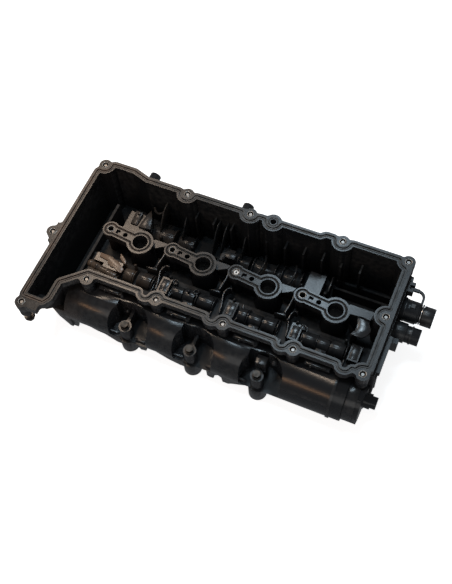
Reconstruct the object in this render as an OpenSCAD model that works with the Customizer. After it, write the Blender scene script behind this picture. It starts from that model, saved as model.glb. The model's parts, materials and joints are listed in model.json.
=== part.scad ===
// Moulded head cover of a four-cylinder engine, lying with its mating flange facing up.
// Origin: axis of the first spark plug well, in the plane of the well faces.
// +X runs towards the hose end, +Y towards the deep intake side, +Z out of the mating flange.

/* [Flange] */
// Height of the mating flange above the well faces
flange_z = 12; // [10:1:16]
// Thickness of the flange lip
flange_t = 10; // [8:1:12]
// Width of the flange on each side of the seal line
land_w = 5; // [4.5:0.1:5.5]
// Radius of the bolt bosses
boss_r = 8.8; // [8.5:0.1:9.5]
// Height of the bolt bosses, from the flange face
boss_h = 26; // [24:1:28]

/* [Body] */
// Depth from the flange face to the outside of the roof
cover_depth = 95; // [90:1:100]
// Wall thickness of the mouldings
wall = 3; // [2.5:0.1:3.5]
// Left end of the separator bay and its partition wall
bay_x = -66; // [-68:1:-64]
// Outside of the right end wall
end_x = 336; // [335:1:338]

/* [Plug wells] */
// Distance between neighbouring plug wells
well_pitch = 91; // [90:0.5:92]
// Number of cylinders
cylinders = 4; // [4:1:4]
// Radius of the bore of a plug well
well_r = 10.2; // [9.8:0.1:10.4]
// Length of the bolt arm beside a well
arm_l = 46; // [44:1:48]

/* [Separator] */
// Radius of the round belly of the separator housing
belly_r = 35; // [33:1:36]
// Distance between the support posts
post_pitch = 92; // [90:1:93]

/* [Fasteners] */
// Radius of a bolt shank
shank_r = 3; // [2.9:0.05:3.1]
// Radius of a compression sleeve
sleeve_r = 5; // [4.8:0.1:5.2]
// Radius of the bore of a compression sleeve
sleeve_bore_r = 3.6; // [3.4:0.1:3.8]

/* [Hoses] */
// Outer radius of the hose spigot
spigot_r = 13; // [12.5:0.5:13]
// Outer radius of the breather connector
breather_r = 11; // [10:0.5:11.5]

/* [Hidden] */
WELLS = [1:cylinders];
// Bolt centres, counted from the front corner of the chain end
BOLTS = [[-97.5, -140.5], [-35, -81], [61, -75], [152.5, -75], [245, -75], [333, -74], [334.5, 8],
         [336.5, 92], [249.5, 90.5], [122.5, 86.5], [31.5, 85.5], [-95, 89], [-111, -33]];

BLACK = [0.06, 0.06, 0.065];
DARK = [0.10, 0.10, 0.11];
RUBBER = [0.16, 0.14, 0.13];
STEEL = [0.62, 0.60, 0.56];

eps = 0.02;
// Clearance between neighbouring pieces
gap = 0.05;
flange_low = flange_z - flange_t;
boss_low = flange_z - boss_h;
roof_z = flange_z - cover_depth;
floor_z = roof_z + wall;
// Seal groove in the flange, and the rubber that lies in it
groove_w = 4.6;
groove_d = 5;
gasket_w = 4.4;
gasket_h = 5.6;
// Inner bay, spine and coil valley
tray_z = -30;
bay_low = tray_z - 4;
spine_y = [-24, 18];
valley_top = -46;
spine_top = -22;
near_wall_y = -70;
// Rows of the barrels over the cam lobes
tray_row_y = -38;
baffle_row_y = 52;
// Turned body of a plug well, and the arm with its bolt
face_r = 18;
neck_r = 15;
foot_r = 18.5;
arm_t = 12;
arm_end_r = 11;
arm_angle = -6;
column_r = 8;
well_sleeve_h = 24.3;
// Round belly of the separator housing, and the pipes round the cover bolts
belly_y = -82;
belly_z = -45;
belly_end_x = 322;
band_x = 304;
pipe_r = 12;
head_room_r = 8.4;
HOUSING_BOLTS = [1:4];
CAP_BOLTS = [5:5];
// Support posts in the pockets of the belly
post_x = 26;
post_y = -107;
post_h = 53;
post_r = 8.5;
post_screw_r = 2.5;
// Pressure control valve
pcv_x = 288;
pcv_y = -50;
pcv_seat_z = -77;
pcv_r = 22;
// Drains of the separator tray
drain_x = [108, 212];
drain_y = -57;
drain_r = 3;
// Hose end
end_cover_x = 346;
hose_y = 47;
hose_z = -28;
hose_bore_r = 8;
spigot_end_x = 388.5;
clip_x = 372.2;
clip_r = 11.8;
breather_y = 16;
breather_z = -30;
breather_bore_r = 7.4;
hook_pin = [351, -8];
hook_pin_r = 1.6;
// Oil passage beside the intake flange
passage = [155, 86];
// Cover bolt
head_z = boss_low - 14;
head_h = 7;
washer_r = 7.2;

// ---------------------------------------------------------------- outlines

// Area inside the seal line, before its corners are rounded
module seal_raw() {
    difference() {
        union() {
            polygon([[-101, -131.5], [-72, -131.5], [-67, -123], [-67, -97], [-38, -71], [326, -71],
                     [336.5, -62], [336.5, 92.4], [226, 92.4], [220, 87], [-30, 87],
                     [-52, 94], [-101, 94]]);
            for (i = [2:5])
                translate([BOLTS[i][0] - (i == 5 ? 24 : 16), -71]) circle(8, $fn = 24);
        }
        for (i = [2:11])
            translate(BOLTS[i]) circle(i < 5 ? 8.5 : 10.5, $fn = 24);
        translate(passage) circle(10.3, $fn = 24);
    }
}

// The same area with rounded corners, grown by a distance
module seal_area(grow = 0) {
    offset(r = grow + 3, $fn = 16) offset(r = -6, $fn = 16) offset(r = 3, $fn = 16) seal_raw();
}

// A band of a given width with the seal line in its middle, or at a distance from it
module seal_band(width, shift = 0) {
    difference() {
        seal_area(shift + width / 2);
        seal_area(shift - width / 2);
    }
}

// Plan of the flange: a land on both sides of the seal, the bolt bosses and the three ears
module flange_outline() {
    offset(r = -4, $fn = 16) offset(r = 4, $fn = 16) {
        seal_area(land_w);
        for (p = BOLTS) translate(p) circle(boss_r, $fn = 28);
        translate(passage) circle(11.5, $fn = 28);
        translate([-111, -48]) square([10, 30]);
        translate([334, -66]) square([9.5, 150]);
        translate([-104, -146]) square([30, 14]);
    }
}

// Everything above the sloping floor of the chain end lobe, moved inwards by a distance
module above_slope(rise = 0) {
    slope = [[-160, -14], [-141, -2], [-114, -24], [-99, -56], [-94, roof_z]];
    translate([-200, 0, 0]) rotate([90, 0, 90])
        linear_extrude(700) polygon(concat([[-160, 60]], [for (p = slope) [p[0] + rise, p[1] + rise]],
                                           [[-94 + rise, roof_z - 5], [160, roof_z - 5], [160, 60]]));
}

// A box between two opposite corners
module block(low, high) {
    translate(low) cube(high - low);
}

// A cylinder along X
module rod_x(x0, x1, y, z, r) {
    translate([x0, y, z]) rotate([0, 90, 0]) cylinder(h = x1 - x0, r = r, $fn = 64);
}

// ---------------------------------------------------------------- cover shell

// Flange, bosses and the outside of the walls, without the near bay that the separator fills
module shell_outside() {
    translate([0, 0, flange_low]) linear_extrude(flange_t) flange_outline();
    for (p = BOLTS)
        translate([p[0], p[1], boss_low]) cylinder(h = boss_h - 1, r = boss_r - 0.5, $fn = 48);
    translate([passage[0], passage[1], boss_low]) cylinder(h = boss_h - 1, r = 8, $fn = 48);
    difference() {
        intersection() {
            translate([0, 0, roof_z]) linear_extrude(cover_depth - 1) seal_area(-1);
            above_slope();
        }
        block([bay_x + 4, -200, roof_z - 1], [400, spine_y[0], bay_low]);
    }
    // ear of the side bolt, and the two stubs on the intake wall
    block([-111, -41, boss_low + 8], [-100, -25, flange_low + 1]);
    for (x = [-27, 112])
        translate([x, 84, flange_z - 13]) rotate([-90, 0, 0]) cylinder(h = 21, r = 7.5, $fn = 40);
}

// Everything that the walls and the roof enclose
module shell_cavity() {
    intersection() {
        translate([0, 0, floor_z]) linear_extrude(cover_depth + 2) seal_area(-4.4);
        above_slope(wall + 0.5);
    }
}

// Walls that stand inside the cover: spine, partition and intake ribs
module shell_inside() {
    block([bay_x, spine_y[0], roof_z + eps], [end_x - 2, spine_y[1], valley_top + wall]);
    block([bay_x, spine_y[0], roof_z + eps], [end_x - 2, spine_y[0] + wall, tray_z]);
    block([bay_x + 16, spine_y[1] - 3.5, roof_z + eps], [end_x - 2, spine_y[1], spine_top]);
    block([bay_x, near_wall_y - 4, roof_z + 6], [bay_x + 3.5, 56, -23]);
    for (x = [bay_x + 112 : 26 : 300])
        block([x, 70, floor_z - eps], [x + 2.4, 84, -18]);
    block([251, 60, floor_z - eps], [end_x - 2, 63, -60]);
    block([251, 74, floor_z - eps], [end_x - 2, 77, -64]);
}

// Space that one plug tower and its arm take up in the spine
module tower_room(i) at_well(i) {
    translate([0, 0, valley_top - 6]) cylinder(h = 20, r = neck_r + gap, $fn = 72);
    translate([0, 0, valley_top + wall]) cylinder(h = 60, r = foot_r + 2 * gap, $fn = 72);
    along_arm() translate([-arm_l, 0, -arm_t - 2 * gap])
        cylinder(h = 20, r = arm_end_r + 2 * gap, $fn = 48);
}

module cover_shell() color(BLACK) {
    difference() {
        union() {
            difference() {
                shell_outside();
                shell_cavity();
            }
            intersection() {
                shell_inside();
                translate([0, 0, roof_z]) linear_extrude(cover_depth - 2) seal_area(-3);
                above_slope(1);
            }
        }
        // coil valley, open on the service side
        block([bay_x + 4, spine_y[0] + wall, roof_z - 1], [end_x - 6, spine_y[1] - 3.5, valley_top]);
        // seal groove
        translate([0, 0, flange_z - groove_d]) linear_extrude(groove_d + 1) seal_band(groove_w);
        translate([0, 0, flange_z - groove_d]) linear_extrude(groove_d + 1)
            translate(passage) difference() {
                circle(7.1, $fn = 48);
                circle(5.2, $fn = 48);
            }
        for (p = BOLTS)
            translate([p[0], p[1], boss_low - 40]) cylinder(h = 80, r = sleeve_r, $fn = 40);
        for (p = BOLTS)
            translate([p[0], p[1], boss_low - 80]) cylinder(h = 80, r = 8.2, $fn = 40);
        translate([passage[0], passage[1], boss_low - 1]) cylinder(h = boss_h + 2, r = 4, $fn = 40);
        for (i = WELLS) tower_room(i);
        // air way from the intake side into the end channel
        translate([end_x - 8, hose_y, hose_z]) rotate([0, 90, 0]) cylinder(h = 12, r = 7, $fn = 40);
    }
}

// ---------------------------------------------------------------- inner mouldings

// One clearance barrel over a cam lobe, lying along X on the tray
module lobe_barrel(x0, x1, y, z, r) {
    intersection() {
        rod_x(x0, x1, y, z, r);
        block([x0 - 1, y - r - 1, tray_z - 2], [x1 + 1, y + r + 1, z + r + 1]);
    }
}

// Tray between the bay and the separator, with the exhaust barrels, pads, drains and chain bracket
module separator_tray() color(DARK) {
    pad_x = [45, 139, 227, 306];
    barrels = [[-8, 5, 9], [13, 32, 11], [62, 78, 9], [80, 95, 11], [100, 120, 10], [157, 168, 11],
               [170, 188, 9], [192, 208, 11], [245, 262, 10], [263, 280, 9], [282, 300, 11]];
    difference() {
        union() {
            translate([0, 0, tray_z - wall]) linear_extrude(wall)
                polygon([[bay_x + 4.2, near_wall_y + 4.2], [end_x - 18, near_wall_y + 4.2],
                         [end_x - 6, near_wall_y + 14], [end_x - 6, spine_y[0] - 2 * gap],
                         [bay_x + 4.2, spine_y[0] - 2 * gap]]);
            for (b = barrels) lobe_barrel(b[0], b[1], tray_row_y, tray_z + 0.5, b[2]);
            for (x = pad_x) block([x, -50, tray_z - 1], [x + 14, -27, tray_z + 12]);
            for (x = [-12, 78, 170, 263]) block([x, -64, tray_z - 1], [x + 15, -54, tray_z + 9]);
            // collars that carry the drain flaps
            for (x = drain_x) block([x - 7, drain_y - 6, tray_z - 1], [x + 7, drain_y + 5, tray_z + 2]);
            for (x = drain_x, side = [-1, 1])
                translate([x + side * 7.4, drain_y + 1, tray_z - 1]) linear_extrude(6)
                    square([2, 8], center = true);
            // stepped bracket and pipe at the chain end
            block([-53, -38, tray_z - 1], [-30, -26, tray_z + 13]);
            block([-38, -44, tray_z - 1], [-12, -30, tray_z + 13]);
            rod_x(-55, -12, -52, tray_z + 7, 5);
            block([-55, -55, tray_z - 1], [-12, -49, tray_z + 7]);
        }
        for (x = drain_x) translate([x, drain_y, tray_z - 5]) cylinder(h = 12, r = drain_r, $fn = 32);
        for (i = [2:4]) translate([BOLTS[i][0], BOLTS[i][1], tray_z - 10]) cylinder(h = 50, r = 12.9);
    }
}

// Baffle on the roof of the deep intake bay, with its barrels, pads and feet
module intake_baffle() color(DARK) {
    barrels = [[140, 170, 9], [172, 180, 7], [183, 208, 9], [-16, 20, 9], [28, 50, 8], [118, 134, 8]];
    difference() {
        union() {
            block([bay_x + 16, spine_y[1] + 0.4, floor_z + 12], [246, 66, floor_z + 15]);
            for (b = barrels)
                intersection() {
                    rod_x(b[0], b[1], baffle_row_y, floor_z + 15, b[2] + 5);
                    block([b[0], 30, floor_z + 14], [b[1], 66, floor_z + 40]);
                }
            block([-48, 30, floor_z + 14], [-20, 60, floor_z + 44]);
            block([93, 40, floor_z + 14], [110, 60, floor_z + 30]);
            block([218, 34, floor_z + 14], [240, 64, floor_z + 38]);
            for (x = [-46, 66, 134, 212, 240])
                block([x, 24, floor_z], [x + 4, 34, floor_z + 13]);
        }
        for (x = [60 : 12 : 84]) translate([x, 46, floor_z]) cylinder(h = 30, r = 2.5, $fn = 24);
    }
}

// Flat web behind a well; the last one reaches the end wall
module web(i) {
    last = i == cylinders;
    reach = last ? 46.4 : 33;
    translate([0, 0, last ? -wall : -wall - 7]) linear_extrude(wall)
        polygon([[12, 9], [14, spine_y[1] - 3.8], [reach, spine_y[1] - 3.8], [reach - 2, last ? 2 : 9],
                 [reach - 12, 3], [15, 1]]);
}

// Outline of the keyhole seal on a well face, shrunk by a distance
module keyhole(shrink = 0) {
    offset(delta = -shrink) {
        circle(face_r - 1.8, $fn = 56);
        translate([-arm_l, -8.6]) square([arm_l, 17.2]);
        translate([-arm_l, 0]) circle(arm_end_r - 0.6, $fn = 40);
    }
}

// Moves its children to the axis of a well
module at_well(i) {
    translate([(i - 1) * well_pitch, 0, 0]) children();
}

// Turns its children so that -X points along the bolt arm
module along_arm() {
    rotate([0, 0, arm_angle]) children();
}

// Plug well with its bolt arm, the column under the bolt and the web to the spine
module plug_tower(i) color(BLACK) at_well(i) {
    difference() {
        union() {
            rotate_extrude($fn = 72)
                polygon([[5, 0], [face_r, 0], [face_r, -5], [neck_r + 0.5, -8], [neck_r, -20],
                         [foot_r, valley_top + wall], [neck_r, valley_top + wall],
                         [neck_r, valley_top - 4], [5, valley_top - 4]]);
            along_arm() difference() {
                union() {
                    translate([-arm_l, -9.4, -arm_t]) cube([arm_l, 18.8, arm_t]);
                    translate([-arm_l, 0, -arm_t]) cylinder(h = arm_t, r = arm_end_r, $fn = 48);
                    translate([-arm_l, 0, valley_top + wall]) cylinder(h = 40, r = column_r, $fn = 48);
                    translate([-arm_l + 6, -1.5, valley_top + wall + 0.5]) cube([arm_l - 20, 3, 34]);
                }
                translate([-arm_l, 0, valley_top + 8]) cylinder(h = 60, r = sleeve_r, $fn = 40);
                translate([-23.5, 0, -20]) cylinder(h = 30, r = 3.4, $fn = 32);
                translate([-37.5, -3, -4]) cube([6, 6, 5]);
            }
            web(i);
        }
        translate([0, 0, valley_top - 20]) cylinder(h = 100, r = well_r, $fn = 72);
        translate([0, 0, -3.5]) linear_extrude(5) along_arm() difference() {
            keyhole(1.2);
            keyhole(4.4);
        }
    }
}

// Keyhole seal of one well and its bolt, with a groove along the middle of its face
module well_gasket(i) color(RUBBER) at_well(i) {
    along_arm() difference() {
        translate([0, 0, -3.45]) linear_extrude(4.1) difference() {
            keyhole(1.3);
            keyhole(4.3);
        }
        translate([0, 0, -1]) linear_extrude(5) difference() {
            keyhole(2.3);
            keyhole(3.3);
        }
    }
}

module well_sleeves() color(STEEL) {
    for (i = WELLS) at_well(i) along_arm()
        translate([-arm_l, 0, -24]) difference() {
            cylinder(h = well_sleeve_h, r = sleeve_r, $fn = 40);
            translate([0, 0, -1]) cylinder(h = 30, r = sleeve_bore_r, $fn = 40);
        }
}

// ---------------------------------------------------------------- oil separator

// Section of the separator housing in the Y-Z plane, shrunk by a distance
module belly_section(r) {
    t = belly_r - r;
    translate([belly_y, belly_z]) circle(r, $fn = 96);
    translate([belly_y, belly_z - r])
        square([spine_y[0] - belly_y, bay_low - belly_z + r + (t > 0 ? 1 : 0)]);
}

// A length of the round belly
module belly(x0, x1, r) {
    translate([x0, 0, 0]) rotate([90, 0, 90]) linear_extrude(x1 - x0) belly_section(r);
}

// Pipes that let the cover bolts and their heads pass through the belly
module bolt_pipes(numbers, r) {
    for (i = numbers)
        translate([BOLTS[i][0], BOLTS[i][1], belly_z - belly_r])
            cylinder(h = belly_r * 2 - 12, r = r, $fn = 48);
}

// Bores of these pipes, wide enough for the bolt heads and for the bosses of the cover
module bolt_bores(numbers) {
    for (i = numbers)
        translate([BOLTS[i][0], BOLTS[i][1], roof_z - 20]) {
            cylinder(h = 110, r = head_room_r, $fn = 48);
            translate([0, 0, boss_low - 4 - roof_z + 20]) cylinder(h = 30, r = boss_r + 0.1, $fn = 48);
        }
}

// Moves its children to the feet of the three support posts
module at_posts() {
    for (i = [0:2]) translate([post_x + i * post_pitch, post_y, roof_z]) children();
}

// Support post with a thicker foot and a rib to the belly behind it
module post() {
    cylinder(h = 27, r = post_r + 3.5, $fn = 48);
    cylinder(h = post_h, r = post_r, $fn = 48);
    translate([-2, 0, 20]) cube([4, 26, post_h - 22]);
}

// Open pocket round a post, flat on the chain side and rounded towards the hose end
module pocket(grow = 0) {
    translate([0, 0, post_h - 24 - grow]) {
        translate([-17 - grow, -40, 0]) cube([20, 64 + grow, 100]);
        translate([5, -2, 0]) cylinder(h = 100, r = 28 + grow, $fn = 96);
    }
}

// Housing of the oil separator: the round belly, with posts, bolt pipes and feet under the flange
module separator_housing() color(BLACK) {
    x0 = bay_x + 5;
    difference() {
        union() {
            difference() {
                belly(x0, belly_end_x, belly_r);
                at_posts() pocket();
            }
            at_posts() post();
            bolt_pipes(HOUSING_BOLTS, pipe_r);
            for (x = [-20, 76, 168, 262])
                block([x, -80.5, -6], [x + 32, near_wall_y - 0.2, -2]);
            for (x = [-60, -20, 76, 168, 262])
                block([x + 12, -80, -30], [x + 15, near_wall_y - 0.2, -3]);
            rod_x(band_x, band_x + 4, belly_y, belly_z, belly_r + 1.4);
        }
        difference() {
            belly(x0 + wall, belly_end_x + 1, belly_r - wall);
            at_posts() pocket(wall);
            bolt_pipes(HOUSING_BOLTS, pipe_r);
        }
        // room for the cover wall, the tray and the flange lip
        block([x0 - 1, near_wall_y, bay_low], [400, 0, 20]);
        translate([0, 0, bay_low]) linear_extrude(50) seal_area(-0.9);
        block([x0 - 1, -200, flange_low - 2], [400, 0, 30]);
        bolt_bores(HOUSING_BOLTS);
        translate([pcv_x, pcv_y, roof_z - 1]) cylinder(h = 8, r = pcv_r - 2, $fn = 64);
        at_posts() translate([0, 0, post_h - 20]) cylinder(h = 30, r = post_screw_r + 0.1, $fn = 32);
    }
}

// Cap that closes the belly at the hose end, with its facets and a capped stub
module separator_end_cap() color(BLACK) {
    difference() {
        union() {
            belly(belly_end_x, end_x, belly_r - 3);
            difference() {
                rod_x(end_x - 1, end_x + 6, belly_y, belly_z, belly_r - 5);
                block([end_x - 2, -66.3, roof_z], [end_x + 8, 0, 0]);
            }
            bolt_pipes(CAP_BOLTS, pipe_r - 1);
            block([belly_end_x + 1, -96, -36], [end_x + 5, -78, -18]);
            block([belly_end_x + 2, -112, -56], [end_x + 6, -90, -42]);
            rod_x(end_x - 4, 358, -79, -50, 8);
            rod_x(end_x - 4, 351, -79, -50, 10);
        }
        difference() {
            belly(belly_end_x - 1, end_x - wall, belly_r - 6);
            bolt_pipes(CAP_BOLTS, pipe_r - 1);
        }
        block([belly_end_x - 1, near_wall_y, bay_low], [400, 0, 20]);
        bolt_bores(CAP_BOLTS);
    }
}

// Shelf inside the belly with fins that stand on alternate sides, and drain slots between them
module labyrinth_plate() color(DARK) {
    fin_pitch = 32;
    difference() {
        union() {
            block([-48, -58, -58], [250, spine_y[0] - gap, -56]);
            for (i = [0:8])
                block([-40 + i * fin_pitch, i % 2 == 0 ? -58 : -46, belly_z - belly_r + wall + gap],
                      [-38 + i * fin_pitch, i % 2 == 0 ? -38 : -26, -40]);
        }
        for (i = [0:7]) block([-30 + i * fin_pitch, -50, -60], [-16 + i * fin_pitch, -44, -50]);
    }
}

// Wall across the belly with a field of small jets
module impactor_plate() color(DARK) {
    difference() {
        block([256, -60, belly_z - belly_r + wall + gap], [258.5, spine_y[0] - gap, tray_z - wall - gap]);
        for (y = [-54, -46, -38], z = [-68, -60, -52, -44])
            translate([250, y, z]) rotate([0, 90, 0]) cylinder(h = 20, r = 1.8, $fn = 24);
    }
}

// ---------------------------------------------------------------- pressure control valve

// Cup with the central port that the plunger throttles, and six vents round it
module pcv_seat() color(DARK) translate([pcv_x, pcv_y, 0]) {
    difference() {
        translate([0, 0, pcv_seat_z]) cylinder(h = 20, r = pcv_r, $fn = 64);
        translate([0, 0, pcv_seat_z - 1]) cylinder(h = 18.5, r = pcv_r - 2.2, $fn = 64);
        translate([0, 0, -62]) cylinder(h = 10, r = 5, $fn = 40);
        for (a = [0:60:300])
            rotate([0, 0, a]) translate([13, 0, -62]) cylinder(h = 10, r = 2.2, $fn = 24);
    }
}

// Round cap with a breathing hole, clipped into the roof
module pcv_cap() color(BLACK) translate([pcv_x, pcv_y, 0]) {
    difference() {
        union() {
            translate([0, 0, roof_z]) cylinder(h = 2.9, r = pcv_r + 3, $fn = 64);
            translate([0, 0, roof_z + 2]) cylinder(h = 4, r = pcv_r - 2.3, $fn = 64);
        }
        translate([0, 0, roof_z + 2]) cylinder(h = 6, r = 17, $fn = 64);
        translate([0, 0, roof_z - 1]) cylinder(h = 6, r = 1.2, $fn = 24);
    }
}

// Rolling diaphragm, held at its rim and round the plunger
module pcv_diaphragm() color(RUBBER) translate([pcv_x, pcv_y, 0])
    rotate_extrude($fn = 64)
        polygon([[4, -74.4], [12, -74.4], [14, -72.6], [16, -74.4], [16, -77], [19.6, -77], [19.6, -75.5],
                 [17.4, -75.5], [17.4, -73.8], [14, -71], [11.4, -73.2], [4, -73.2]]);

// Plunger that the diaphragm lifts towards the port
module pcv_plunger() color(DARK) translate([pcv_x, pcv_y, 0])
    rotate_extrude($fn = 48)
        polygon([[0, -76], [10, -76], [10, -74.6], [3.8, -74.6], [3.8, -66.5], [6.6, -65.5], [6.6, -63.6],
                 [0, -63.6]]);

// Ring of points around the spring wire at an angle along the helix
function wire_ring(a, r, wire_r, z0, pitch) =
    [for (k = [0:5]) let (t = 60 * k)
        [(r + wire_r * cos(t)) * cos(a),
         (r + wire_r * cos(t)) * sin(a),
         z0 + pitch * a / 360 + wire_r * sin(t)]];

// Round wire wound along a helix
module helix(r, wire_r, z0, pitch, turns) {
    steps = turns * 20;
    points = [for (s = [0:steps]) each wire_ring(18 * s, r, wire_r, z0, pitch)];
    sides = [for (s = [0:steps - 1], k = [0:5]) each
        [[6 * s + k, 6 * s + (k + 1) % 6, 6 * s + 6 + (k + 1) % 6],
         [6 * s + k, 6 * s + 6 + (k + 1) % 6, 6 * s + 6 + k]]];
    ends = [[for (k = [5:-1:0]) k], [for (k = [0:5]) 6 * steps + k]];
    polyhedron(points, concat([for (f = concat(sides, ends)) [for (n = [len(f) - 1:-1:0]) f[n]]]));
}

module pcv_spring() color(STEEL) translate([pcv_x, pcv_y, 0])
    helix(9, 0.7, -72.3, 2.75, 4);

// Flap over a drain, with its hinge pin along X
module drain_flap(i) color(RUBBER) translate([drain_x[i - 1], drain_y, tray_z + 2.1]) {
    block([-6, -4.5, 0], [6, 4, 1.2]);
    translate([-6, 4.2, 0.9]) rotate([0, 90, 0]) cylinder(h = 12, r = 0.9, $fn = 24);
}

// ---------------------------------------------------------------- seals and fasteners

// Seal of the whole cover: a bead with two lips, all the way round
module perimeter_gasket() color(RUBBER) {
    difference() {
        translate([0, 0, flange_z - groove_d + gap]) linear_extrude(gasket_h) seal_band(gasket_w);
        translate([0, 0, flange_z - 1.6]) linear_extrude(5) seal_band(1.7);
    }
}

module passage_gasket() color(RUBBER) {
    translate([passage[0], passage[1], flange_z - groove_d + gap]) difference() {
        cylinder(h = gasket_h, r = 7, $fn = 48);
        translate([0, 0, -1]) cylinder(h = 10, r = 5.3, $fn = 48);
    }
}

module bolt_sleeves() color(STEEL) {
    for (p = BOLTS)
        translate([p[0], p[1], boss_low]) difference() {
            cylinder(h = boss_h + 0.3, r = sleeve_r, $fn = 40);
            translate([0, 0, -1]) cylinder(h = boss_h + 3, r = sleeve_bore_r, $fn = 40);
        }
}

// Rubber washers that keep the loose bolts in their bosses
module bolt_retainers() color(RUBBER) {
    for (p = BOLTS)
        translate([p[0], p[1], boss_low - 3]) difference() {
            cylinder(h = 3, r = 6.6, $fn = 40);
            translate([0, 0, -1]) cylinder(h = 6, r = shank_r + 0.06, $fn = 40);
        }
}

// Hexagon bolt with a washer face, its head below and its chamfered tip above
module bolt(tip_z) {
    point_h = 1.2;
    washer_h = 1.8;
    translate([0, 0, head_z]) cylinder(h = tip_z - head_z - point_h, r = shank_r, $fn = 40);
    translate([0, 0, tip_z - point_h]) cylinder(h = point_h, r1 = shank_r, r2 = shank_r - 1, $fn = 40);
    translate([0, 0, head_z - washer_h]) cylinder(h = washer_h, r = washer_r, $fn = 40);
    translate([0, 0, head_z - head_h]) cylinder(h = head_h - washer_h + 0.1, r = 5.6, $fn = 6);
}

module cover_bolt(i) color(STEEL)
    translate([BOLTS[i - 1][0], BOLTS[i - 1][1], 0]) bolt(flange_z - 1.5);

// Drilled bolt left in the arm of the third well
module well_bolt_3() color(STEEL)
    at_well(3) along_arm() translate([-arm_l, 0, 0]) difference() {
        translate([0, 0, -30]) cylinder(h = 29, r = shank_r, $fn = 40);
        translate([0, 0, -4]) cylinder(h = 6, r = 1.2, $fn = 24);
    }

module post_screws() color(STEEL)
    at_posts() translate([0, 0, post_h - 19]) {
        cylinder(h = 20, r = post_screw_r, $fn = 32);
        translate([0, 0, 19.1]) cylinder(h = 1.5, r = 6, $fn = 40);
        translate([0, 0, 20]) cylinder(h = 5, r = 5, $fn = 6);
    }

// ---------------------------------------------------------------- hose end

// Cover of the air channel across the hose end, with the seats of both connectors
module end_channel_cover() color(BLACK) {
    difference() {
        union() {
            block([end_x + 0.1, -66, roof_z + 4], [end_cover_x, 82, flange_low - 4]);
            block([end_cover_x - 2, 75.4, -22], [end_cover_x + 3, 82, flange_low - 5]);
            block([end_x + 0.1, -60, -10], [end_cover_x + 4.5, -8, -2]);
            rod_x(end_x + 1, end_cover_x + 4, hose_y, hose_z, 16);
            rod_x(end_x + 1, end_cover_x + 3, breather_y, breather_z, 13.5);
        }
        block([end_x - 1, 24, -66], [end_cover_x - wall, 78, -12]);
        block([end_x - 1, -62, -66], [end_cover_x - wall, -6, -12]);
        block([end_x - 1, -20, -66], [end_cover_x - wall, 60, -50]);
        translate([BOLTS[6][0], BOLTS[6][1], roof_z - 1]) cylinder(h = 100, r = 9.2, $fn = 48);
        translate([BOLTS[5][0], BOLTS[5][1], roof_z - 1]) cylinder(h = 80, r = 11.2, $fn = 48);
        rod_x(end_x, end_cover_x + 9, hose_y, hose_z, hose_bore_r);
    }
}

// Quick connector for the large hose, with a latch nose and the slot of the spring clip
module hose_connector() color(BLACK) {
    difference() {
        union() {
            rod_x(end_cover_x + 4, 352.5, hose_y, hose_z, 15);
            rod_x(352, spigot_end_x, hose_y, hose_z, spigot_r);
            rod_x(352, 368, hose_y, hose_z, spigot_r + 1.5);
            block([357, hose_y - 3, hose_z + 8], [363, hose_y + 3, hose_z + 17]);
        }
        rod_x(end_cover_x, 400, hose_y, hose_z, hose_bore_r);
        rod_x(376, 400, hose_y, hose_z, 9.4);
        difference() {
            rod_x(370.6, 373.8, hose_y, hose_z, 20);
            rod_x(370, 375, hose_y, hose_z, 10.4);
        }
    }
}

module hose_connector_seal() color(RUBBER)
    translate([379, hose_y, hose_z]) rotate([0, 90, 0])
        rotate_extrude($fn = 48) translate([8.4, 0]) circle(1, $fn = 20);

// U-shaped spring wire that sits in the slot of the hose connector
module hose_clip() color(STEEL)
    translate([clip_x, hose_y, hose_z]) rotate([0, 90, 0]) rotate([0, 0, 180]) {
        rotate_extrude(angle = 180, $fn = 64) translate([clip_r, 0]) circle(1, $fn = 20);
        for (side = [-1, 1])
            translate([side * clip_r, 0, 0]) rotate([90, 0, 0]) cylinder(h = 9, r = 1, $fn = 20);
    }

// Fixed connector of the breather hose, with a bead and the block under it
module breather_connector() color(BLACK) {
    difference() {
        union() {
            rod_x(end_cover_x + 3, 362, breather_y, breather_z, 13);
            rod_x(362, 380, breather_y, breather_z, breather_r);
            rod_x(368, 370, breather_y, breather_z, breather_r + 1);
            block([end_cover_x + 3, -4, -49], [357, 12, -26]);
        }
        rod_x(352, 400, breather_y, breather_z, breather_bore_r);
        rod_x(375, 377.1, breather_y, breather_z, 8.8);
    }
}

module breather_seal() color(RUBBER)
    translate([376.05, breather_y, breather_z]) rotate([0, 90, 0])
        rotate_extrude($fn = 48) translate([7.7, 0]) circle(1, $fn = 20);

// Clevis that the hook swings in
module hook_bracket() color(BLACK) {
    difference() {
        union() {
            block([end_cover_x, 60, -14], [354, 65, -3]);
            block([end_cover_x, 70, -14], [354, 75, -3]);
            block([end_cover_x, 60, -16], [348.5, 75, -3]);
        }
        translate([hook_pin[0], 50, hook_pin[1]]) rotate([-90, 0, 0])
            cylinder(h = 40, r = hook_pin_r + gap, $fn = 32);
    }
}

// Open hook for the wiring, with its pin along Y
module harness_hook() color(DARK) {
    translate([hook_pin[0], 60.5, hook_pin[1]]) rotate([-90, 0, 0])
        cylinder(h = 14, r = hook_pin_r, $fn = 32);
    translate([hook_pin[0], 65.4, -10]) cube([10, 4.2, 3.6]);
    translate([360, 58.5, -8.2]) rotate_extrude(angle = 90, $fn = 64)
        translate([9, 0]) square([3, 3.6], center = true);
    translate([367.5, 50, -10]) cube([3, 8.6, 3.6]);
}

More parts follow.
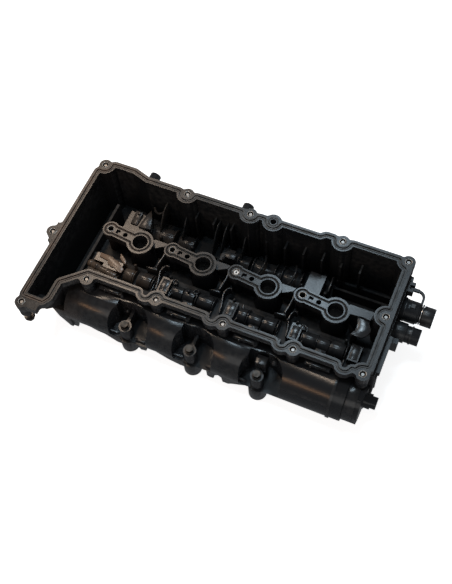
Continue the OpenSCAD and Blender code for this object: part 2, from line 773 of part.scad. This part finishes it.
cover_shell();
separator_tray();
intake_baffle();
separator_housing();
separator_end_cap();
end_channel_cover();
labyrinth_plate();
impactor_plate();
perimeter_gasket();
passage_gasket();
bolt_sleeves();
bolt_retainers();
well_sleeves();
post_screws();
pcv_seat();
pcv_cap();
pcv_diaphragm();
pcv_spring();
pcv_plunger();
drain_flap(1);  // drain_flap_1
drain_flap(2);  // drain_flap_2
hose_connector();
hose_connector_seal();
hose_clip();
breather_connector();
breather_seal();
harness_hook();
hook_bracket();
well_bolt_3();
for (i = WELLS)
    plug_tower(i);
for (i = WELLS)
    well_gasket(i);
for (i = [1:len(BOLTS)])
    cover_bolt(i);
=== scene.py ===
"""Looks of the moulded head cover: materials, moulded detail, light and camera round the CAD frame."""
import json
import math

import bmesh
import bpy
from mathutils import Matrix, Vector


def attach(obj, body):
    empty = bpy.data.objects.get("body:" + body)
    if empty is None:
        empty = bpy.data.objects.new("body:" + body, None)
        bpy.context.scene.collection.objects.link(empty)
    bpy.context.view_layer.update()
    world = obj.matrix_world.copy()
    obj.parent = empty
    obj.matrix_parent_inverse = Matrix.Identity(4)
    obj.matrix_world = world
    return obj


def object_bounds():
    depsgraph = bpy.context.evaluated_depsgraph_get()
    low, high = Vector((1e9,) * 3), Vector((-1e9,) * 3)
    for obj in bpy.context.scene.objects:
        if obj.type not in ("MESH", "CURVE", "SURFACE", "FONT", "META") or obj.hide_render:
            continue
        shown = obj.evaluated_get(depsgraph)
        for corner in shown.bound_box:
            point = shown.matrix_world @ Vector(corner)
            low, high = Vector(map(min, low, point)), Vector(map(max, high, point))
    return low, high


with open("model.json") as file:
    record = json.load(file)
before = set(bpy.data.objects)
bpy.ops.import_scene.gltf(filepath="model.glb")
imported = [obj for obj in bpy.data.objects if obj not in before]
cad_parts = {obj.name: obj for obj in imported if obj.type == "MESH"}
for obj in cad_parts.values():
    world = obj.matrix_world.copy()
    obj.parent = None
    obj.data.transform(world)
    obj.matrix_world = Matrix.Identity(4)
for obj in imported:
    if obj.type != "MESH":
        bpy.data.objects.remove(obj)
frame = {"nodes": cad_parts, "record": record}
CAD_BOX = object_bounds()
NODES = frame["nodes"]
SLOTS = {part["node"]: part["material_slot"] for part in frame["record"]["subparts"]}
MM = 0.001
scene = bpy.context.scene


# ------------------------------------------------------------------ camera, light and floor

CAM_PLACE = Vector((0.3893, -0.4771, 0.9481))
CAM_LOOK = Vector((-0.23495, 0.41681, -0.87811))
CAM_ROLL = math.radians(-6.84)
CAM_LENS = 52.4
FLOOR_Z = CAD_BOX[0].z
WARM = (1.0, 0.80, 0.63)
COOL = (0.70, 0.87, 1.0)
AMBER = (1.0, 0.55, 0.28)
FILL = (1.0, 0.98, 0.95)
SKY = (0.93, 0.96, 1.0)
WARM_WATTS = 6.5
AMBER_WATTS = 1.6
COOL_WATTS = 7
FILL_WATTS = 4
WORLD_STRENGTH = 0.16
FLOOR_GLOW = 0.82
FLOOR_HALF = 40.0
FLOOR_DROP = 0.0002


def make_camera():
    data = bpy.data.cameras.new("camera")
    data.lens = CAM_LENS
    data.sensor_width = 36
    data.clip_start = 0.01
    cam = bpy.data.objects.new("camera", data)
    cam.location = CAM_PLACE
    turn = CAM_LOOK.to_track_quat("-Z", "Y").to_matrix() @ Matrix.Rotation(CAM_ROLL, 3, "Z")
    cam.rotation_euler = turn.to_euler()
    scene.collection.objects.link(cam)
    scene.camera = cam


def area_light(name, place, aim, size, power, tint):
    data = bpy.data.lights.new(name, "AREA")
    data.shape = "RECTANGLE"
    data.size, data.size_y = size
    data.energy = power
    data.color = tint
    light = bpy.data.objects.new(name, data)
    light.location = place
    light.rotation_euler = (Vector(aim) - Vector(place)).to_track_quat("-Z", "Y").to_euler()
    scene.collection.objects.link(light)


def make_lights():
    centre = (0.12, 0.0, 0.0)
    belly = (0.0, -0.1, 0.0)
    area_light("warm_softbox", (-0.60, 0.66, 1.40), centre, (0.26, 0.34), WARM_WATTS, WARM)
    area_light("cool_softbox", (0.00, 0.80, 1.50), centre, (0.30, 0.26), COOL_WATTS, COOL)
    area_light("warm_strip", (-0.46, 0.04, 1.45), centre, (0.30, 0.10), WARM_WATTS * 0.5, WARM)
    area_light("cool_strip", (0.06, 0.04, 1.50), centre, (0.40, 0.10), COOL_WATTS * 0.5, COOL)
    area_light("front_fill", (0.3, -1.6, 0.9), centre, (1.4, 0.8), FILL_WATTS, FILL)
    area_light("amber_strip", (-0.5, -1.3, 0.65), belly, (0.5, 0.14), AMBER_WATTS, AMBER)
    world = bpy.data.worlds.new("studio")
    world.use_nodes = True
    sky = world.node_tree.nodes["Background"]
    sky.inputs["Color"].default_value = (*SKY, 1)
    sky.inputs["Strength"].default_value = WORLD_STRENGTH
    scene.world = world
    scene.view_settings.view_transform = "Standard"
    scene.view_settings.look = "None"


def make_floor():
    mesh = bpy.data.meshes.new("floor")
    half = FLOOR_HALF
    corners = [(-half, -half, 0), (half, -half, 0), (half, half, 0), (-half, half, 0)]
    mesh.from_pydata(corners, [], [(0, 1, 2, 3)])
    floor = bpy.data.objects.new("floor", mesh)
    floor.location = (0, 0, FLOOR_Z - FLOOR_DROP)
    scene.collection.objects.link(floor)
    mat = bpy.data.materials.new("floor_white")
    mat.use_nodes = True
    shader = mat.node_tree.nodes["Principled BSDF"]
    shader.inputs["Base Color"].default_value = (0.9, 0.9, 0.9, 1)
    shader.inputs["Roughness"].default_value = 0.9
    shader.inputs["Emission Color"].default_value = (1, 1, 1, 1)
    shader.inputs["Emission Strength"].default_value = FLOOR_GLOW
    mesh.materials.append(mat)
    floor.visible_glossy = False


# ------------------------------------------------------------------ materials


class Nodes:
    """Small helper that adds shader nodes to one material and links them."""

    def __init__(self, name):
        self.mat = bpy.data.materials.new(name)
        self.mat.use_nodes = True
        self.tree = self.mat.node_tree
        self.shader = self.tree.nodes["Principled BSDF"]
        self.place = self.add("ShaderNodeTexCoord").outputs["Object"]

    def add(self, kind, **values):
        node = self.tree.nodes.new(kind)
        for key, value in values.items():
            setattr(node, key, value)
        return node

    def link(self, source, target):
        self.tree.links.new(source, target)

    def noise(self, scale, detail=3.0, rough=0.5, stretch=(1, 1, 1)):
        mapping = self.add("ShaderNodeMapping")
        mapping.inputs["Scale"].default_value = stretch
        self.link(self.place, mapping.inputs["Vector"])
        node = self.add("ShaderNodeTexNoise")
        node.inputs["Scale"].default_value = scale
        node.inputs["Detail"].default_value = detail
        node.inputs["Roughness"].default_value = rough
        self.link(mapping.outputs[0], node.inputs["Vector"])
        return node.outputs["Fac"]

    def ramp(self, value, low, high, out_low=0.0, out_high=1.0):
        node = self.add("ShaderNodeMapRange")
        node.inputs["From Min"].default_value = low
        node.inputs["From Max"].default_value = high
        node.inputs["To Min"].default_value = out_low
        node.inputs["To Max"].default_value = out_high
        self.link(value, node.inputs["Value"])
        return node.outputs[0]

    def mix(self, factor, first, second):
        node = self.add("ShaderNodeMix", data_type="RGBA")
        sockets = (node.inputs["Factor"], node.inputs[6], node.inputs[7])
        for socket, value in zip(sockets, (factor, first, second)):
            if isinstance(value, bpy.types.NodeSocket):
                self.link(value, socket)
            elif isinstance(value, tuple):
                socket.default_value = (*value, 1)
            else:
                socket.default_value = value
        return node.outputs[2]

    def math(self, operation, first, second):
        node = self.add("ShaderNodeMath", operation=operation)
        for socket, value in zip(node.inputs, (first, second)):
            if isinstance(value, bpy.types.NodeSocket):
                self.link(value, socket)
            else:
                socket.default_value = value
        return node.outputs[0]

    def bump(self, height, depth, strength=1.0, base=None):
        node = self.add("ShaderNodeBump")
        node.inputs["Strength"].default_value = strength
        node.inputs["Distance"].default_value = depth
        self.link(height, node.inputs["Height"])
        if base is not None:
            self.link(base, node.inputs["Normal"])
        return node.outputs[0]

    def edges(self, low=0.51, high=0.56):
        """1 along worn convex edges, 0 elsewhere."""
        return self.ramp(self.add("ShaderNodeNewGeometry").outputs["Pointiness"], low, high)

    def along(self, axis, start, end):
        """0 before start and 1 after end, along one axis of the row frame, in metres."""
        split = self.add("ShaderNodeSeparateXYZ")
        self.link(self.place, split.inputs[0])
        return self.ramp(split.outputs[axis], start, end)


# Specular level of the dull outside, the smooth upper faces, the inner mouldings and the intake baffle
SHINE_LOW = 0.13
SHINE_HIGH = 0.36
SHINE_TRAY = 0.22
SHINE_BAFFLE = 0.15
# Height below the whole object: a moulding whose gloss starts here is smooth all over
ALL_SMOOTH = -0.2
NYLON = (0.0105, 0.0116, 0.0135)
# Tan of the chain bracket: partly oil staining, partly a painted warm reflection.
TAN_OIL_AND_SHEEN = (0.20, 0.125, 0.08)
# Brown of the chain end: partly oil stain, partly a painted warm reflection.
OIL_BROWN_AND_SHEEN = (0.040, 0.024, 0.014)
# Tan varnish of the upper faces: partly oil varnish, partly a painted warm highlight.
VARNISH_AND_SHEEN = (0.30, 0.20, 0.13)
DUST = (0.07, 0.068, 0.065)
RUBBED_PLASTIC = (0.13, 0.125, 0.12)
# Brown of the chain-end rubber: partly oil, partly a painted warm reflection.
OIL_AND_SHEEN_RUBBER = (0.11, 0.065, 0.042)
STEEL_STAIN = (0.12, 0.085, 0.06)
RUBBED_STEEL = (0.5, 0.49, 0.46)


def moulded_plastic(name, base, gloss_z, stain=0.4, rough=0.27, dull=0.50, varnish_and_sheen=0.0, dust=0.03,
                    shine=SHINE_HIGH, wave=0.06, wear=0.2):
    """Glass-filled nylon: dull below gloss_z, smoother above it, with oil film and rubbed edges. Towards the
    chain end it is browner and its upper faces carry tan varnish, both partly real oil and partly a painted
    warm reflection.
    """
    n = Nodes(name)
    upper = n.along("Z", gloss_z - 0.001, gloss_z + 0.001)
    chain_end = n.math("SUBTRACT", 1.0, n.along("X", -0.06, 0.09))
    patches = n.ramp(n.noise(9, 3, 0.5), 0.40, 0.72)
    # Brown towards the chain end: partly oil stain, partly a painted warm reflection.
    colour = n.mix(n.math("MULTIPLY", n.math("MULTIPLY", chain_end, patches), stain), base, OIL_BROWN_AND_SHEEN)
    dusty = n.math("MULTIPLY", n.ramp(n.noise(90, 6, 0.7), 0.5, 0.8), dust)
    colour = n.mix(dusty, colour, DUST)
    # Tan on the upper faces towards the chain end: partly oil varnish, partly a painted warm highlight on the
    # tops.
    if varnish_and_sheen:
        varnish_sheen_mask = n.math("MULTIPLY", n.math("SUBTRACT", 1.0, n.along("X", -0.012, 0.05)), upper)
        varnish_sheen_mask = n.math("MULTIPLY", varnish_sheen_mask, n.ramp(n.noise(48, 4), 0.38, 0.52))
        colour = n.mix(n.math("MULTIPLY", varnish_sheen_mask, varnish_and_sheen), colour, VARNISH_AND_SHEEN)
    worn = n.math("MULTIPLY", n.edges(), n.ramp(n.noise(160, 4), 0.35, 0.7))
    colour = n.mix(n.math("MULTIPLY", worn, wear), colour, RUBBED_PLASTIC)
    n.link(colour, n.shader.inputs["Base Color"])
    gloss = n.math("ADD", n.math("MULTIPLY", upper, rough - dull), dull)
    film = n.ramp(n.noise(7, 2, 0.45), 0.35, 0.7, 0.03, -0.03)
    speck = n.ramp(n.noise(420, 2), 0.3, 0.7, -0.02, 0.02)
    n.link(n.math("ADD", n.math("ADD", film, speck), gloss), n.shader.inputs["Roughness"])
    waves = n.bump(n.noise(30, 2), 0.0004, wave)
    n.link(n.bump(n.noise(1500, 2), 0.00005, 0.35, waves), n.shader.inputs["Normal"])
    level = n.math("ADD", n.math("MULTIPLY", upper, shine - SHINE_LOW), SHINE_LOW)
    n.link(level, n.shader.inputs["Specular IOR Level"])
    return n.mat


def seal_rubber(name, base, shine=0.5):
    """Oil-soaked rubber, browner at the chain end, partly from oil and partly as a painted warm reflection,
    with a finely mottled skin.
    """
    n = Nodes(name)
    chain_end = n.math("SUBTRACT", 1.0, n.along("X", -0.09, 0.06))
    # Brown towards the chain end: partly oil soaking, partly a painted warm reflection.
    colour = n.mix(n.math("MULTIPLY", chain_end, n.ramp(n.noise(40, 4), 0.3, 0.7)), base, OIL_AND_SHEEN_RUBBER)
    colour = n.mix(n.ramp(n.noise(300, 4), 0.5, 0.75, 0, 0.5), colour, DUST)
    n.link(colour, n.shader.inputs["Base Color"])
    n.link(n.ramp(n.noise(90, 3), 0.3, 0.7, 0.35, 0.6), n.shader.inputs["Roughness"])
    n.shader.inputs["Specular IOR Level"].default_value = shine
    n.link(n.bump(n.noise(900, 3), 0.00008, 0.7), n.shader.inputs["Normal"])
    return n.mat


def plated_steel(name, base, rough, stain, rub=0.25):
    """Plated steel with brown oil stain, fine turning marks and bright rubbed edges."""
    n = Nodes(name)
    colour = n.mix(n.ramp(n.noise(120, 5, 0.6), 0.45, 0.7, 0, stain), base, STEEL_STAIN)
    colour = n.mix(n.math("MULTIPLY", n.edges(), rub), colour, RUBBED_STEEL)
    n.link(colour, n.shader.inputs["Base Color"])
    n.shader.inputs["Metallic"].default_value = 1.0
    n.link(n.ramp(n.noise(260, 4), 0.3, 0.7, rough - 0.08, rough + 0.12), n.shader.inputs["Roughness"])
    marks = n.noise(500, 2, 0.5, (1, 1, 7))
    n.link(n.bump(marks, 0.00004, 0.5), n.shader.inputs["Normal"])
    return n.mat


MATERIALS = {
    "shell_plastic": moulded_plastic("shell_nylon", NYLON, -0.004, 0.2),
    "inner_plastic": moulded_plastic("inner_nylon", NYLON, -0.0285, 0.5, 0.21,
                                     varnish_and_sheen=0.25, shine=SHINE_TRAY),
    "fitting_plastic": moulded_plastic("fitting_nylon", NYLON, ALL_SMOOTH, 0.1, 0.32),
    "seal_rubber": seal_rubber("oil_and_sheen_rubber", (0.012, 0.0115, 0.011)),
    "sleeve_steel": plated_steel("sleeve_plating", (0.22, 0.21, 0.20), 0.38, 0.5),
    "bolt_steel": plated_steel("bolt_plating", (0.20, 0.195, 0.19), 0.36, 0.5),
    "spring_steel": plated_steel("spring_wire", (0.55, 0.55, 0.55), 0.28, 0.2),
}
NODE_MATERIALS = {
    "intake_baffle": moulded_plastic("baffle_nylon", NYLON, -0.062, 0.5, 0.21,
                                     varnish_and_sheen=0.1, shine=SHINE_BAFFLE),
    "separator_housing": moulded_plastic("housing_nylon", NYLON, ALL_SMOOTH, 0.6, 0.22,
                                         dust=0.01, wave=0.015, wear=0.15),
    "separator_end_cap": moulded_plastic("cap_nylon", NYLON, ALL_SMOOTH, 0.1, 0.20,
                                         dust=0.01, wave=0.015, wear=0.15),
    "post_screws": plated_steel("screw_coating", (0.014, 0.0135, 0.013), 0.45, 0.3, 0.05),
}
tower_nylon = moulded_plastic("tower_nylon", NYLON, -0.02, 0.5, 0.24, shine=SHINE_TRAY)
well_rubber = seal_rubber("well_rubber", (0.009, 0.0088, 0.0086), 0.36)
for well in (1, 2, 3, 4):
    NODE_MATERIALS[f"plug_tower_{well}"] = tower_nylon
    NODE_MATERIALS[f"well_gasket_{well}"] = well_rubber


NODE_EDGE = 0.6
PIECE_EDGE = 0.45
SHARP_ANGLE = math.radians(38)


def soften_edges(obj, radius):
    """Rounds the sharp edges of an object by a radius in millimetres."""
    bevel = obj.modifiers.new("edge_radius", "BEVEL")
    bevel.width = radius * MM
    bevel.segments = 2
    bevel.limit_method = "ANGLE"
    bevel.angle_limit = SHARP_ANGLE


def dress_node(name, obj):
    """Gives a CAD node its material and softens its sharp moulded edges."""
    obj.data.materials.clear()
    obj.data.materials.append(NODE_MATERIALS.get(name, MATERIALS[SLOTS[name]]))
    weld = obj.modifiers.new("weld", "WELD")
    weld.merge_threshold = 0.01 * MM
    soften_edges(obj, NODE_EDGE)


for node_name, node_object in NODES.items():
    dress_node(node_name, node_object)

# ------------------------------------------------------------------ moulded detail, in millimetres

# Cylinder pitch, heights of the tray, the spine and the intake baffle, and rows of the barrels in Y
PITCH = 91
TRAY = -30
SPINE = -43
INTAKE_FLOOR = -65
TRAY_ROW = -38
BAFFLE_ROW = 52
# How far a foot reaches into the moulding under it
SINK = 0.5


def smooth(path, rounds=2):
    """Rounds the corners of an open path and keeps its ends."""
    for _ in range(rounds):
        corners = [path[0]]
        for first, second in zip(path, path[1:]):
            corners.append(tuple(a * 0.75 + b * 0.25 for a, b in zip(first, second)))
            corners.append(tuple(a * 0.25 + b * 0.75 for a, b in zip(first, second)))
        path = corners + [path[-1]]
    return path


def strip(path, width):
    """Outline of a thin wall that follows a path."""
    left, right = [], []
    for k, point in enumerate(path):
        before = Vector(path[max(k - 1, 0)])
        after = Vector(path[min(k + 1, len(path) - 1)])
        side = (after - before).normalized().orthogonal() * (width / 2)
        left.append(tuple(Vector(point) + side))
        right.append(tuple(Vector(point) - side))
    return left + right[::-1]


def shifted(points, dx, dy=0):
    return [(x + dx, y + dy) for x, y in points]


def add_prism(bm, outline, low, high, turn=None):
    """A solid that stands on an outline between two heights; turn maps it into another plane."""
    turn = turn or (lambda x, y, z: (x, y, z))
    area = sum(a[0] * b[1] - b[0] * a[1] for a, b in zip(outline, outline[1:] + outline[:1]))
    if area < 0:
        outline = outline[::-1]
    base = [bm.verts.new(Vector(turn(x, y, low)) * MM) for x, y in outline]
    top = [bm.verts.new(Vector(turn(x, y, high)) * MM) for x, y in outline]
    faces = [bm.faces.new(base[::-1]), bm.faces.new(top)]
    for k in range(len(base)):
        after = (k + 1) % len(base)
        faces.append(bm.faces.new((base[k], base[after], top[after], top[k])))
    bmesh.ops.recalc_face_normals(bm, faces=faces)


def add_box(bm, low, high):
    plan = [(low[0], low[1]), (high[0], low[1]), (high[0], high[1]), (low[0], high[1])]
    add_prism(bm, plan, low[2], high[2])


def along_x(y, z, x):
    """Turns a prism so that its outline lies in the Y-Z plane and its height runs along X."""
    return x, y, z


def along_y(x, z, y):
    """Turns a prism so that its outline lies in the X-Z plane and its height runs along Y."""
    return x, y, z


def arc(y, z, radius, steps=24):
    """Half circle in the Y-Z plane, open side down, as an outline for along_x."""
    angles = [math.pi * k / steps for k in range(steps + 1)]
    return [(y + radius * math.cos(a), z + radius * math.sin(a)) for a in angles]


def add_rod(bm, start, end, radius, end_radius=None, segments=36):
    start, end = Vector(start) * MM, Vector(end) * MM
    axis = end - start
    turn = axis.to_track_quat("Z", "Y").to_matrix().to_4x4()
    bmesh.ops.create_cone(bm, cap_ends=True, segments=segments, radius1=radius * MM,
                          radius2=(radius if end_radius is None else end_radius) * MM, depth=axis.length,
                          matrix=Matrix.Translation((start + end) / 2) @ turn)


def add_ball(bm, centre, radius, squeeze=1.0):
    place = Matrix.Translation(Vector(centre) * MM) @ Matrix.Diagonal((1, 1, squeeze, 1))
    bmesh.ops.create_uvsphere(bm, u_segments=28, v_segments=16, radius=radius * MM, matrix=place)


def add_tube(bm, path, radius, sides=12):
    """A round bar swept along a path of 3-D points."""
    rings = []
    for k, point in enumerate(path):
        before = Vector(path[max(k - 1, 0)])
        after = Vector(path[min(k + 1, len(path) - 1)])
        turn = (after - before).to_track_quat("Z", "Y")
        ring = []
        for n in range(sides):
            a = math.tau * n / sides
            spoke = turn @ Vector((math.cos(a), math.sin(a), 0)) * radius
            ring.append(bm.verts.new((Vector(point) + spoke) * MM))
        rings.append(ring)
    for lower, upper in zip(rings, rings[1:]):
        for n in range(sides):
            bm.faces.new((lower[n], lower[(n + 1) % sides], upper[(n + 1) % sides], upper[n]))
    bm.faces.new(rings[0][::-1])
    bm.faces.new(rings[-1])


def make_piece(name, build, slot_name, material=None, edge=PIECE_EDGE, body="cover"):
    """Builds one visual piece with softened edges that moves with a CAD body."""
    bm = bmesh.new()
    build(bm)
    mesh = bpy.data.meshes.new(name)
    bm.to_mesh(mesh)
    bm.free()
    obj = bpy.data.objects.new(name, mesh)
    scene.collection.objects.link(obj)
    mesh.materials.append(material or MATERIALS[slot_name])
    soften_edges(obj, edge)
    for face in mesh.polygons:
        face.use_smooth = True
    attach(obj, body)


def arm_ribs(bm):
    """Rib from the end of each bolt arm across the coil valley roof, with a foot at the tray wall."""
    path = smooth([(33, 8), (34, -1), (32.5, -12), (31.5, -21)])
    for i in range(3):
        add_prism(bm, strip(shifted(path, PITCH * i), 2.2), SPINE - SINK, -12)
        foot = [(30, -20), (33, -20.8), (34, -24), (18, -24), (26, -22)]
        add_prism(bm, shifted(foot, PITCH * i), SPINE - SINK, -15)
    hook = smooth([(46, -12), (41, -12), (38, -20), (38.5, -26), (42, -36), (44, -50)])
    for i in range(3):
        add_prism(bm, strip(shifted(hook, PITCH * i), 1.8), TRAY - SINK, -16)


def saddle_ribs(bm):
    """Low curved ribs on the tray, either side of the cam lobes."""
    for x in (58, 152, 240):
        path = smooth([(x + 6, -25), (x + 8, -33), (x + 7, -43), (x + 3, -52)])
        add_prism(bm, strip(path, 1.8), TRAY - SINK, TRAY + 8)
    for x in (-14, 36, 60, 122, 152, 212, 238, 303):
        path = [(x, -64), (x, -50), (x, -30)]
        add_prism(bm, strip(path, 1.6), TRAY - SINK, TRAY + 4.5)


def corner_web(bm):
    """Wavy web between the last plug well and the hose end, open round the well."""
    outer = smooth([(285, 13.9), (303, 13.9), (306, 13.9)], 0)
    edge = smooth([(310, 10), (314, 7), (317, 3), (318, -3), (323, -8), (321, -17), (315, -23)])
    inner = smooth([(300, -23), (305, -18), (306, -9), (303, 0), (297, 7), (288, 10)])
    add_prism(bm, outer + edge + inner, -6, -3.2)
    wall = smooth([(289, 11), (297, 8), (303, 1), (306, -8), (305, -17), (301, -23)])
    add_prism(bm, strip(wall, 2), SPINE - SINK, -4)


def tray_bosses(bm):
    """Small bosses, rings and stop pads between the barrels of the exhaust tray."""
    for x, y in ((4, -27), (55, -25.8), (86, -37), (146, -26), (220, -27), (233, -25.8), (298, -27)):
        add_rod(bm, (x, y, TRAY - SINK), (x, y, -16), 2.3, 1.9)
        add_ball(bm, (x, y, -16), 2.2)
    for x, y in ((64, -29.5), (95, -33), (242, -29)):
        turns = [math.tau * k / 20 for k in range(20)]
        ring = [(x + 3.2 * math.cos(a), y + 3.2 * math.sin(a), -18) for a in turns]
        add_tube(bm, ring, 1.1)
        add_rod(bm, (x, y, TRAY - SINK), (x, y, -20), 2.6)
    for x in (84, 176, 266):
        add_box(bm, (x, -56, TRAY - SINK), (x + 13, -49, -19))
        add_box(bm, (x + 3, -54.5, -20), (x + 10, -50.5, -17.6))
    for x in (47, 141, 229, 308):
        add_box(bm, (x, -47.5, -18.5), (x + 10, -30, -17.4))


def lobe_bands(bm):
    """Raised bands round the ends of the cam lobe barrels."""
    for x, r in ((6, 10), (34, 12), (80, 10), (97, 11.6), (121, 11), (169, 12), (190, 10), (210, 12),
                 (243, 11), (262.5, 10.8), (281, 10.4), (301.5, 12)):
        add_prism(bm, arc(TRAY_ROW, TRAY, r), x, x + 1.6, along_x)


def chain_bracket(bm):
    """Stepped bracket and leaf beside the timing chain, on a thin wall; chain_pipe builds the pipe."""
    plate = [(-48, -26), (-31, -26.5), (-27, -29), (-20, -30), (-13, -35), (-8, -38), (-9, -45), (-14, -44.5),
             (-22, -40), (-25, -41), (-32, -38.5), (-34, -34), (-47, -32)]
    add_prism(bm, plate, -18, -15.2)
    leaf = smooth([(-22, -18), (-12, -24), (-8, -30), (-11, -31), (-20, -25)], 1)
    add_prism(bm, leaf, -20, -14.5)
    add_prism(bm, strip([(-21, -21), (-10, -29)], 3), SPINE - SINK, -19)


def chain_pipe(bm):
    add_rod(bm, (-54, -44.5, -19), (-14, -51, -19), 4.6)
    add_ball(bm, (-54, -44.5, -19), 5.4)
    for x in (-46, -30):
        add_rod(bm, (x, -45.7 - (x + 46) * 0.16, -19), (x + 3, -46.2 - (x + 46) * 0.16, -19), 5.4)
    for x in (-44, -22):
        add_box(bm, (x, -50, TRAY - SINK), (x + 4, -45, -20))


def intake_details(bm):
    """Tilted guide plate, hook, ribs and pads of the deep intake bay."""
    add_prism(bm, [(40, -34), (60, -31), (60, -34), (40, -37)], -40, -30, along_x)
    add_prism(bm, [(-27, 38), (-24, 60), (-21, 69), (-14, 56), (-9, 40)], -52, -33)
    add_rod(bm, (-34, 57, -34), (-34, 57, -29.4), 2.4)
    curl = smooth([(-22, 79, -40), (-17, 72, -40), (-11, 71, -40), (-7, 75, -40), (-6, 82, -40)])
    add_tube(bm, curl, 1.7)
    for x in (-2, 32, 78, 90, 120):
        add_prism(bm, [(46, INTAKE_FLOOR), (52, -46), (66, -26), (74, -22), (83, -22), (83, INTAKE_FLOOR)],
                  x, x + 1.8, along_x)
    for x in (4, 52, 100, 212, 246):
        add_rod(bm, (x, 42, INTAKE_FLOOR), (x, 42, -48), 2.6)
        add_ball(bm, (x, 42, -48), 3)
    for x in (152, 196):
        add_tube(bm, smooth([(x, 34, -44), (x + 4, 44, -40), (x + 4, 56, -39), (x, 66, -46)]), 1.6)
    add_prism(bm, strip([(250, 40), (249, 64)], 2), INTAKE_FLOOR, -37)
    add_box(bm, (103, 37, -46), (118, 46, -32))
    for x, r in ((139, 15), (171, 15.6), (181, 15.6), (208, 15), (20, 15), (50, 14), (117, 14)):
        add_prism(bm, arc(BAFFLE_ROW, INTAKE_FLOOR + 3, r), x, x + 1.7, along_x)


def near_side_details(bm):
    """Fins, feet, hose clip and stiffening under the near flange and along the round belly."""
    add_prism(bm, [(-82, -42), (-59, -38), (-59, -82), (-63, -82), (-76, -62)], -114, -105, along_y)
    skirts = [[(-64, -50), (-67, -66), (-63, -82), (-52, -81), (-48, -62), (-44, -50)],
              [(-46, -50), (-47, -59), (-20, -70), (-9, -71.5), (8, -82.5), (14, -82.5), (14, -50)],
              [(40, -50), (40, -71), (44, -78), (52, -76), (53, -50)],
              [(66, -50), (68, -66), (84, -75), (101, -80), (108, -80), (108, -50)],
              [(140, -50), (140, -80), (143, -82.5), (149, -82.5), (152, -70), (157, -66), (161, -70),
               (162, -82.5), (170, -82.5), (175, -78), (196, -65), (196, -50)]]
    for outline in skirts:
        add_prism(bm, outline, -112, -108.5, along_y)
    for x in (-20, 76, 168, 262):
        add_box(bm, (x + 2, -80.3, -2), (x + 28, -77, -0.4))
        add_box(bm, (x + 7, -82, -7), (x + 9, -71, -2))
    for x in (-40, 12, 104, 196):
        add_rod(bm, (x, -79, -12), (x, -79, -5), 2.4)
        add_ball(bm, (x, -79, -5), 2.4)
    add_box(bm, (203, -96, -40), (217, -84, -17))
    add_ball(bm, (226, -88, -17), 4.2)
    add_ball(bm, (3, -84, -27), 3)
    add_ball(bm, (19, -85, -32), 3)


def hose_end_details(bm):
    """Wedge and vertical ribs on the hose end wall."""
    for y in (-52, -30, 66):
        add_box(bm, (343, y, -70), (347.6, y + 2.2, -14))
    add_prism(bm, [(345, -2), (350, -6), (345.5, -40)], -58, -55, along_y)
    for y in (20, 34, 60):
        add_box(bm, (345, y, -50), (348, y + 2, -16))


# Tan bracket colour: partly oil staining, partly a painted warm reflection.
tan_sheen_plastic = moulded_plastic("tan_sheen_nylon", TAN_OIL_AND_SHEEN, ALL_SMOOTH, 0.3, 0.30)
housing_nylon = NODE_MATERIALS["separator_housing"]
make_piece("arm_ribs", arm_ribs, "inner_plastic")
make_piece("saddle_ribs", saddle_ribs, "inner_plastic")
make_piece("corner_web", corner_web, "shell_plastic", NODE_MATERIALS["separator_end_cap"])
make_piece("tray_bosses", tray_bosses, "inner_plastic", edge=0.3)
make_piece("lobe_bands", lobe_bands, "inner_plastic", edge=0.3)
make_piece("chain_bracket", chain_bracket, "inner_plastic", tan_sheen_plastic)
make_piece("chain_pipe", chain_pipe, "inner_plastic")
make_piece("intake_details", intake_details, "inner_plastic", NODE_MATERIALS["intake_baffle"])
make_piece("near_side_details", near_side_details, "shell_plastic", housing_nylon)
make_piece("hose_end_details", hose_end_details, "shell_plastic", housing_nylon)

make_camera()
make_lights()
make_floor()
